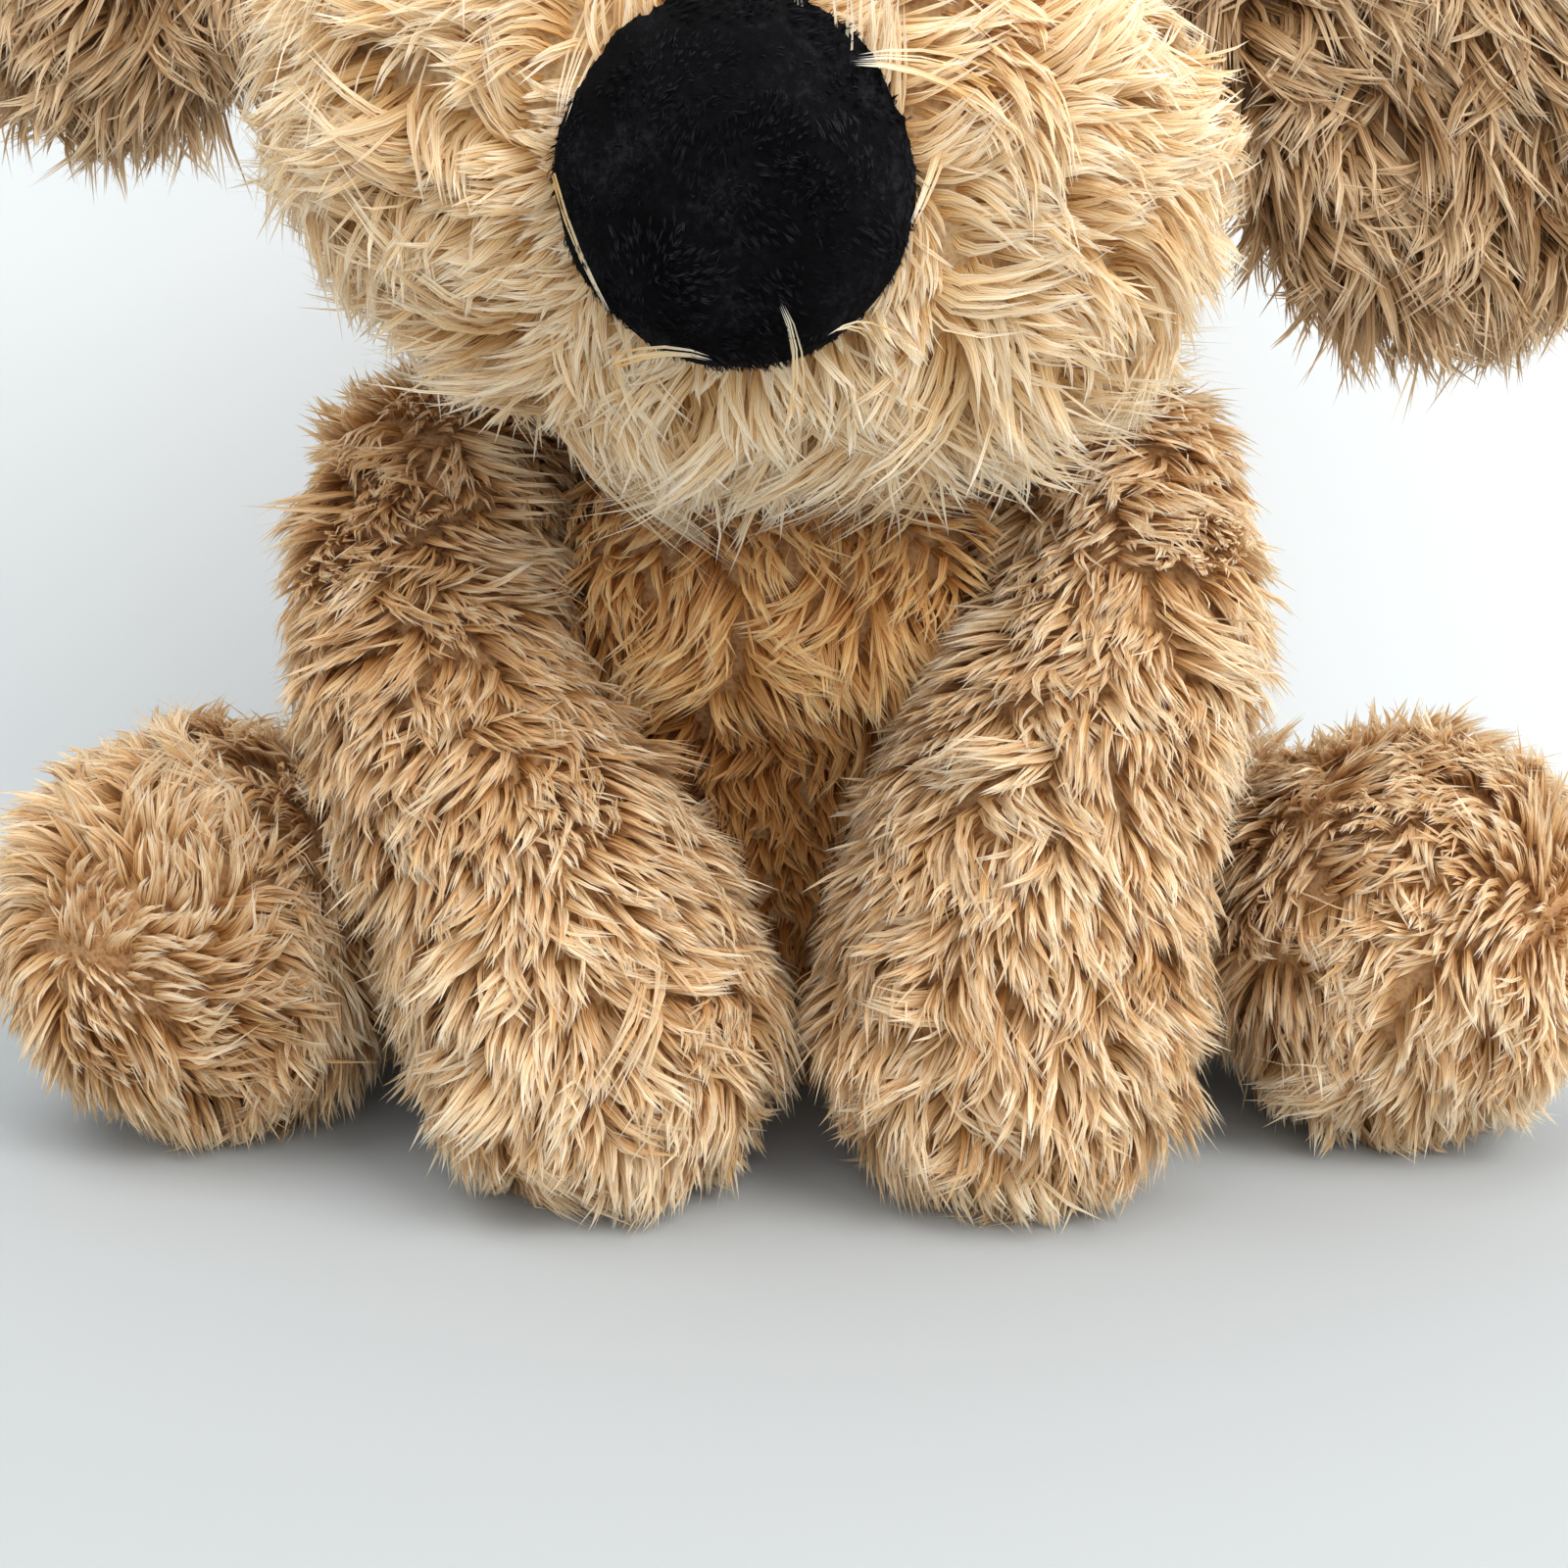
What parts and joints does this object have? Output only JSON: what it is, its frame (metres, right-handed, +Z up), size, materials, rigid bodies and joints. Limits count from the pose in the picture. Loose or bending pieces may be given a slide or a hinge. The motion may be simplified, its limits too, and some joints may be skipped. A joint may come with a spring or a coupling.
{
  "type": "plush dog",
  "caption": "Sitting shaggy plush dog with a cream muzzle, black nose, hanging ears and turning head, arms and legs.",
  "frame": {"origin": "on the flat seat, on the floor and on the dog's middle plane", "axes": "+Z up, the dog faces -Y, +X is the dog's own left"},
  "size_m": [0.28, 0.2365, 0.2409],
  "materials": {
    "tan_fur": "matte",
    "cream_fur": "matte",
    "brown_fur": "matte",
    "black_fleece": "matte",
    "stuffing": "matte",
    "bag_cloth": "matte",
    "thread": "matte",
    "eye_plastic": "gloss",
    "washer_plastic": "matte",
    "pellets": "satin"
  },
  "bodies": {
    "torso": {"torso_cover": "tan_fur", "torso_stuffing": "stuffing", "seat_bean_bag": "bag_cloth", "seat_pellets": "pellets"},
    "neck": {"neck_stuffing": "stuffing"},
    "head": {"head_cover": "tan_fur", "head_stuffing": "stuffing", "neck_seam_thread": "thread", "muzzle_cover": "cream_fur", "muzzle_stuffing": "stuffing", "nose_cover": "black_fleece", "nose_stuffing": "stuffing", "left_eye": "eye_plastic", "left_eye_washer": "washer_plastic", "right_eye": "eye_plastic", "right_eye_washer": "washer_plastic"},
    "left_ear": {"left_ear_front": "brown_fur", "left_ear_back": "brown_fur", "left_ear_seam_thread": "thread"},
    "right_ear": {"right_ear_front": "brown_fur", "right_ear_back": "brown_fur", "right_ear_seam_thread": "thread"},
    "left_arm": {"left_arm_cover": "tan_fur", "left_arm_stuffing": "stuffing", "left_paw_beans": "bag_cloth", "left_shoulder_seam_thread": "thread"},
    "right_arm": {"right_arm_cover": "tan_fur", "right_arm_stuffing": "stuffing", "right_paw_beans": "bag_cloth", "right_shoulder_seam_thread": "thread"},
    "left_leg": {"left_leg_cover": "tan_fur", "left_leg_stuffing": "stuffing", "left_foot_beans": "bag_cloth", "left_hip_seam_thread": "thread"},
    "right_leg": {"right_leg_cover": "tan_fur", "right_leg_stuffing": "stuffing", "right_foot_beans": "bag_cloth", "right_hip_seam_thread": "thread"},
    "tail": {"tail_cover": "tan_fur", "tail_stuffing": "stuffing", "tail_seam_thread": "thread"}
  },
  "joints": [
    {"name": "neck_turn", "type": "hinge", "parent": "torso", "child": "neck", "pos_m": [-0.002, -0.022, 0.178], "axis": [0, 0, 1], "range_deg": [-15, 15]},
    {"name": "head_nod", "type": "hinge", "parent": "neck", "child": "head", "pos_m": [-0.002, -0.022, 0.178], "axis": [-1, 0, 0], "range_deg": [0, 25]},
    {"name": "left_ear_flap", "type": "hinge", "parent": "head", "child": "left_ear", "pos_m": [0.06154, -0.034, 0.20843], "axis": [0, -1, 0], "range_deg": [0, 35]},
    {"name": "right_ear_flap", "type": "hinge", "parent": "head", "child": "right_ear", "pos_m": [-0.05303, -0.034, 0.22658], "axis": [0, 1, 0], "range_deg": [0, 35]},
    {"name": "left_arm_swing", "type": "hinge", "parent": "torso", "child": "left_arm", "pos_m": [0.055, -0.025, 0.111], "axis": [-1, 0, 0], "range_deg": [0, 25]},
    {"name": "right_arm_swing", "type": "hinge", "parent": "torso", "child": "right_arm", "pos_m": [-0.057, -0.025, 0.111], "axis": [-1, 0, 0], "range_deg": [0, 25]},
    {"name": "left_leg_splay", "type": "hinge", "parent": "torso", "child": "left_leg", "pos_m": [0.073, 0.02, 0.033], "axis": [0, 0, 1], "range_deg": [0, 20]},
    {"name": "right_leg_splay", "type": "hinge", "parent": "torso", "child": "right_leg", "pos_m": [-0.073, 0.02, 0.033], "axis": [0, 0, -1], "range_deg": [0, 20]},
    {"name": "tail_wag", "type": "hinge", "parent": "torso", "child": "tail", "pos_m": [0, 0.087, 0.042], "axis": [0, 0, 1], "range_deg": [-20, 20]}
  ]
}
